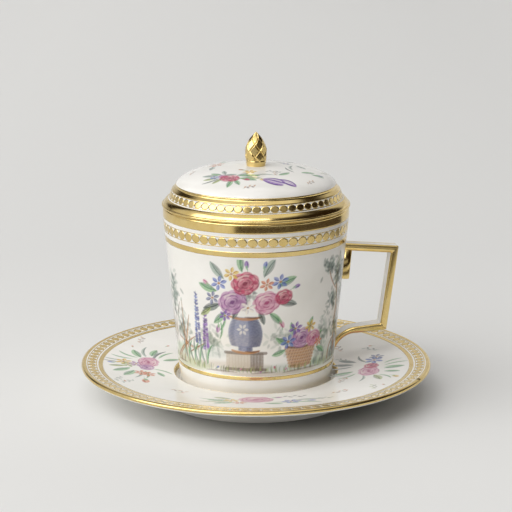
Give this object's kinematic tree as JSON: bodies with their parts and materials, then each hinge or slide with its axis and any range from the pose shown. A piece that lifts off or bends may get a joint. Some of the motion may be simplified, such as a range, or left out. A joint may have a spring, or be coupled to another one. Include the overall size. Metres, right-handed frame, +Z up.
{
  "type": "covered cup and saucer",
  "caption": "Covered cup with tapering sides, a square handle with a curved lower arm, a domed cover with a bud finial, and a saucer with a deep well for the cup's foot.",
  "frame": {"origin": "on the common axis of saucer, cup and cover, on the surface that the saucer's foot ring stands on", "axes": "+Z up along the axis, +X from the axis towards the cup's handle"},
  "size_m": [0.136, 0.136, 0.1036],
  "materials": {
    "glazed_porcelain": "clear glaze on white porcelain",
    "gilding": "burnished gilding fired on the glaze",
    "enamel": "painted enamel colours fired on the glaze"
  },
  "bodies": {
    "root": {"saucer": "glazed_porcelain", "cup": "glazed_porcelain", "cover": "glazed_porcelain"}
  },
  "joints": []
}
